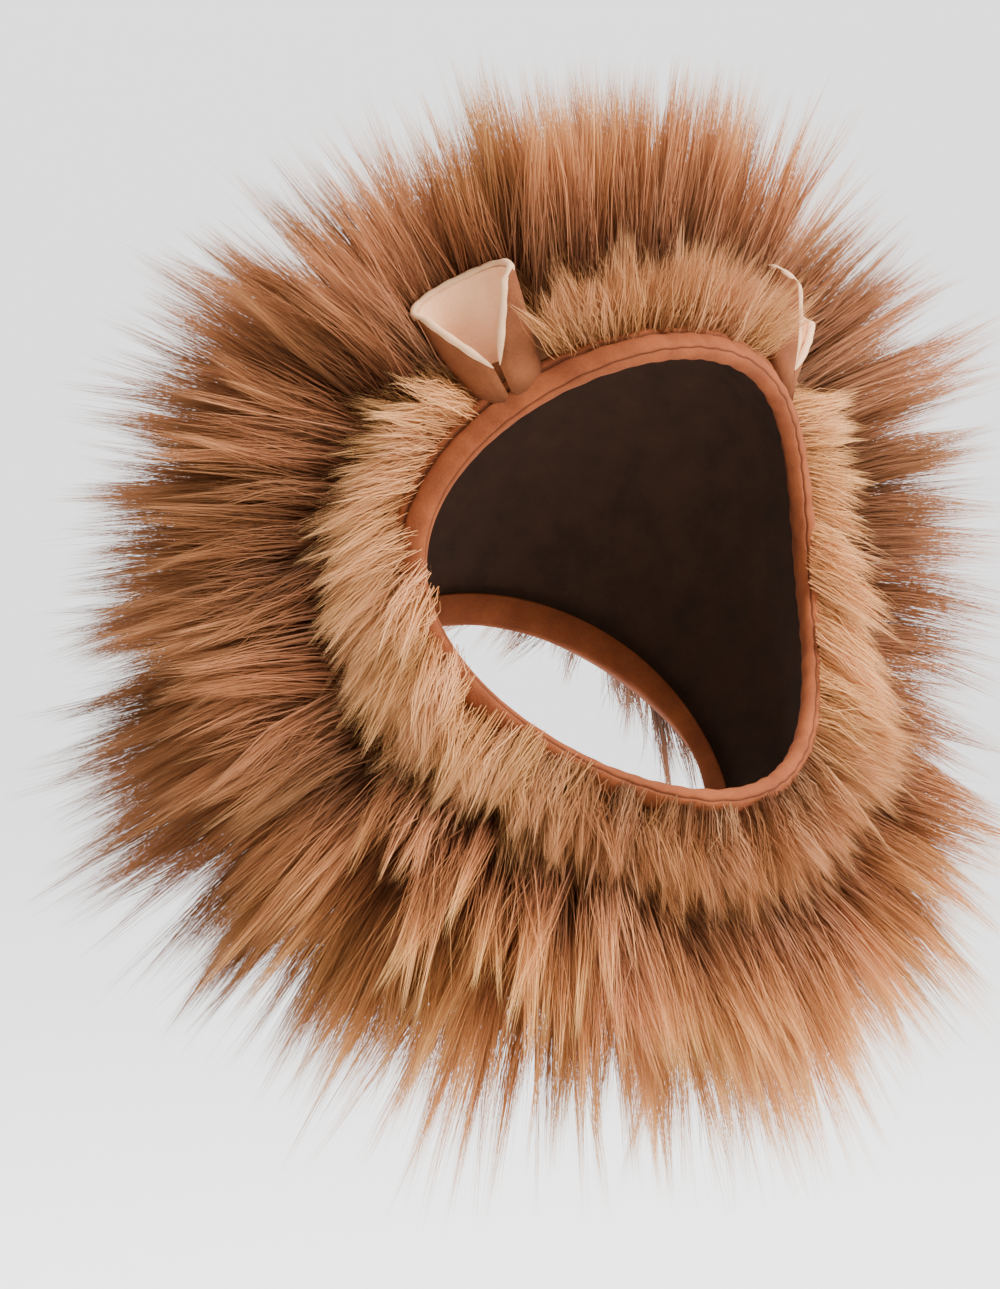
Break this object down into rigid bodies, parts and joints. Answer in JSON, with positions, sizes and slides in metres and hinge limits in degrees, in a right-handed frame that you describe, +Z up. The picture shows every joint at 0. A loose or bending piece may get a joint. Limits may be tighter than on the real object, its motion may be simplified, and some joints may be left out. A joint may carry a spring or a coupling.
{
  "type": "pet lion mane wig",
  "caption": "Pull-on hood of long brown imitation fur with a pale ruff, a bound face opening and small felt ears, for a cat or small dog.",
  "frame": {"origin": "inside of the crown, where the hood rests on the top of the wearer's head", "axes": "+Z up, the face opening looks along -Y, +X to the wearer's left"},
  "size_m": [0.3343, 0.2387, 0.3405],
  "materials": {
    "lining_cloth": "soft brushed jersey",
    "binding_cloth": "brushed knit, rolled and stitched",
    "ruff_pile": "short pale imitation fur",
    "mane_pile": "long brown imitation fur",
    "ear_felt": "short-napped felt",
    "ear_plush": "short-napped pink plush"
  },
  "bodies": {
    "root": {"lining_crown": "lining_cloth", "lining_left": "lining_cloth", "lining_right": "lining_cloth", "face_binding": "binding_cloth", "neck_hem": "binding_cloth", "ruff_fur": "ruff_pile", "mane_fur": "mane_pile", "ear_right_felt": "ear_felt", "ear_left_felt": "ear_felt", "ear_right_lining": "ear_plush", "ear_left_lining": "ear_plush"}
  },
  "joints": []
}
